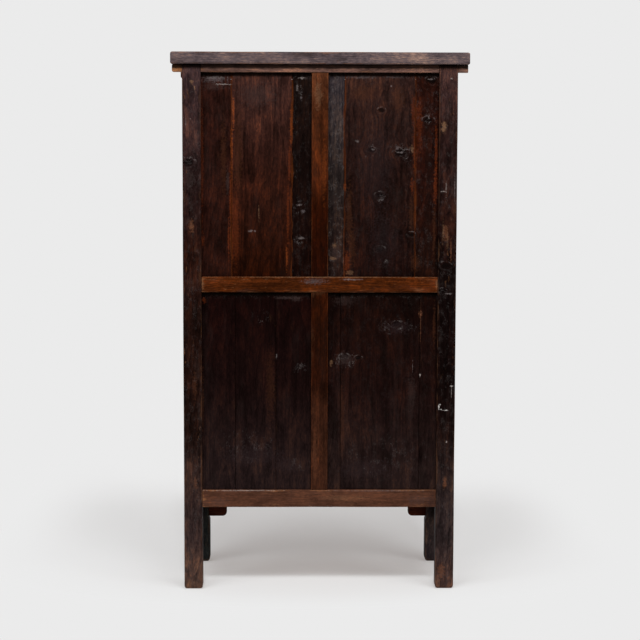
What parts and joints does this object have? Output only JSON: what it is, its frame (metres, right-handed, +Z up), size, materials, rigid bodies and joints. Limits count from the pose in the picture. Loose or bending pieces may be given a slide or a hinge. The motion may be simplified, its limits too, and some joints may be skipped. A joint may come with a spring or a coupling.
{
  "type": "two-door cabinet",
  "caption": "Tall wooden cabinet on square legs with an overhanging cap, framed back panels and framed doors that turn on wooden pivots and have ring pulls.",
  "frame": {"origin": "on the floor, under the middle of the cap", "axes": "+Z up, -Y the front with the doors, +X to the right of someone facing the doors"},
  "size_m": [1.002, 0.5, 1.83],
  "materials": {
    "cap_wood": "worn lacquer",
    "post_wood": "dark varnish",
    "rail_wood": "worn varnish",
    "panel_wood": "glossy varnish",
    "door_wood": "glossy varnish",
    "inside_wood": "bare wood",
    "pull_brass": "tarnished"
  },
  "bodies": {
    "frame": {"cap_front": "cap_wood", "cap_rear": "cap_wood", "cap_left": "cap_wood", "cap_right": "cap_wood", "cap_panel": "cap_wood", "cornice_front": "cap_wood", "cornice_left": "cap_wood", "cornice_right": "cap_wood", "cap_batten": "inside_wood", "front_left_post": "post_wood", "rear_left_post": "post_wood", "front_right_post": "post_wood", "rear_right_post": "post_wood", "rear_top_rail": "rail_wood", "rear_mid_rail": "rail_wood", "rear_bottom_rail": "rail_wood", "front_top_rail": "rail_wood", "front_bottom_rail": "rail_wood", "left_top_rail": "rail_wood", "right_top_rail": "rail_wood", "left_bottom_rail": "rail_wood", "right_bottom_rail": "rail_wood", "upper_muntin": "rail_wood", "lower_muntin": "rail_wood", "front_apron": "rail_wood", "front_left_spandrel": "rail_wood", "front_right_spandrel": "rail_wood", "left_apron": "rail_wood", "right_apron": "rail_wood", "upper_left_back_panel": "panel_wood", "lower_left_back_panel": "panel_wood", "left_side_panel": "panel_wood", "left_side_battens": "inside_wood", "left_shelf_bearer": "inside_wood", "upper_right_back_panel": "panel_wood", "lower_right_back_panel": "panel_wood", "right_side_panel": "panel_wood", "right_side_battens": "inside_wood", "right_shelf_bearer": "inside_wood", "floor_boards": "inside_wood", "shelf_boards": "inside_wood"},
    "left_door": {"left_door_hinge_stile": "door_wood", "left_door_meeting_stile": "door_wood", "left_door_top_rail": "door_wood", "left_door_bottom_rail": "door_wood", "left_door_panel": "door_wood", "left_door_battens": "inside_wood", "left_pull_rosette": "pull_brass", "left_pull_pin": "pull_brass"},
    "right_door": {"right_door_hinge_stile": "door_wood", "right_door_meeting_stile": "door_wood", "right_door_top_rail": "door_wood", "right_door_bottom_rail": "door_wood", "right_door_panel": "door_wood", "right_door_battens": "inside_wood", "right_pull_rosette": "pull_brass", "right_pull_pin": "pull_brass"},
    "left_ring": {"left_pull_ring": "pull_brass"},
    "right_ring": {"right_pull_ring": "pull_brass"}
  },
  "joints": [
    {"name": "left_door_hinge", "type": "hinge", "parent": "frame", "child": "left_door", "pos_m": [-0.384, -0.194, 1.05], "axis": [0, 0, -1], "range_deg": [0, 95]},
    {"name": "right_door_hinge", "type": "hinge", "parent": "frame", "child": "right_door", "pos_m": [0.384, -0.194, 1.05], "axis": [0, 0, 1], "range_deg": [0, 95]},
    {"name": "left_ring_swing", "type": "hinge", "parent": "left_door", "child": "left_ring", "pos_m": [-0.0265, -0.2191, 1.08345], "axis": [-1, 0, 0], "range_deg": [0, 100]},
    {"name": "right_ring_swing", "type": "hinge", "parent": "right_door", "child": "right_ring", "pos_m": [0.0265, -0.2191, 1.08345], "axis": [-1, 0, 0], "range_deg": [0, 100]}
  ]
}
